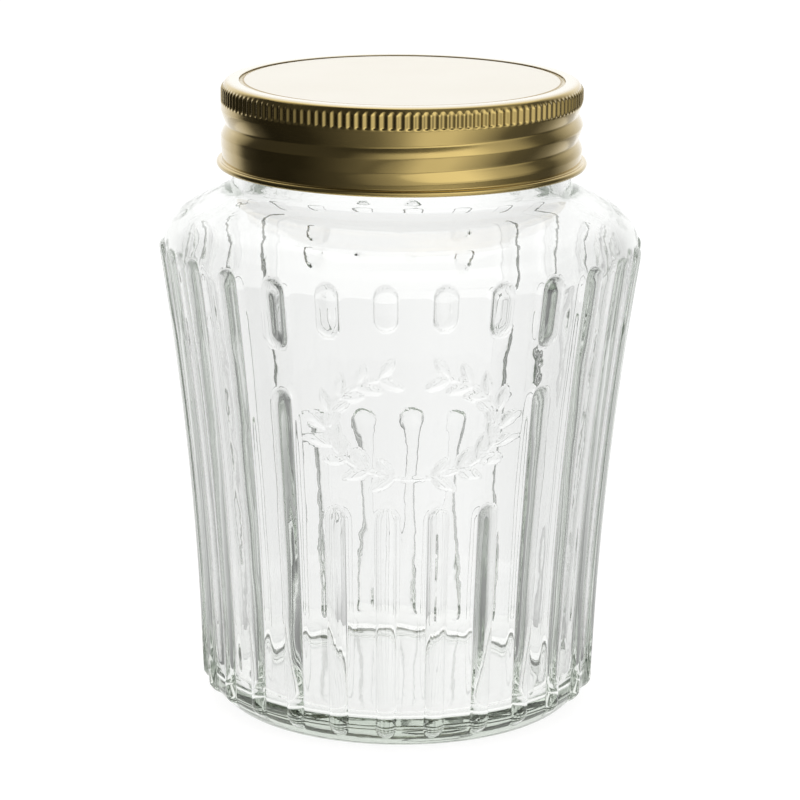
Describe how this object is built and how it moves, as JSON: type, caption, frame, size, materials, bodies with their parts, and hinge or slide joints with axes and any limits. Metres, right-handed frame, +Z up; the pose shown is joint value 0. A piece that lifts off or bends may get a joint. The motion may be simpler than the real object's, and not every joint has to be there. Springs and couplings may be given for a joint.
{
  "type": "preserving jar with two-piece screw lid",
  "caption": "Flared glass preserving jar with upright ribs and plain panels, closed by a pressed metal disc on a sealing ring under a knurled screw band.",
  "frame": {"origin": "middle of the foot, on the surface that the jar stands on", "axes": "+Z up along the jar's axis; -Y out of the middle of the front panel; +X to the right seen from the front"},
  "size_m": [0.0976, 0.0972, 0.1285],
  "materials": {
    "clear_glass": "moulded clear soda-lime glass with a faint grey-green tint",
    "cream_lacquer": "cream lacquered tinplate, low gloss",
    "seal_compound": "cast sealing compound, matt",
    "gold_lacquer": "gold lacquered tinplate, satin"
  },
  "bodies": {
    "jar": {"glass_jar": "clear_glass"},
    "lid": {"lid_disc": "cream_lacquer", "sealing_ring": "seal_compound"},
    "band": {"screw_band": "gold_lacquer"}
  },
  "joints": [
    {"name": "lid_rise", "type": "slide", "parent": "jar", "child": "lid", "axis": [0, 0, 1], "range_m": [0, 0.00636]},
    {"name": "band_turn", "type": "hinge", "parent": "lid", "child": "band", "pos_m": [0, 0, 0.12], "axis": [0, 0, 1], "range_deg": [0, 450]}
  ],
  "couplings": [
    {"joint": "lid_rise", "follows": "band_turn", "m_per_rad": 0.00080851}
  ]
}
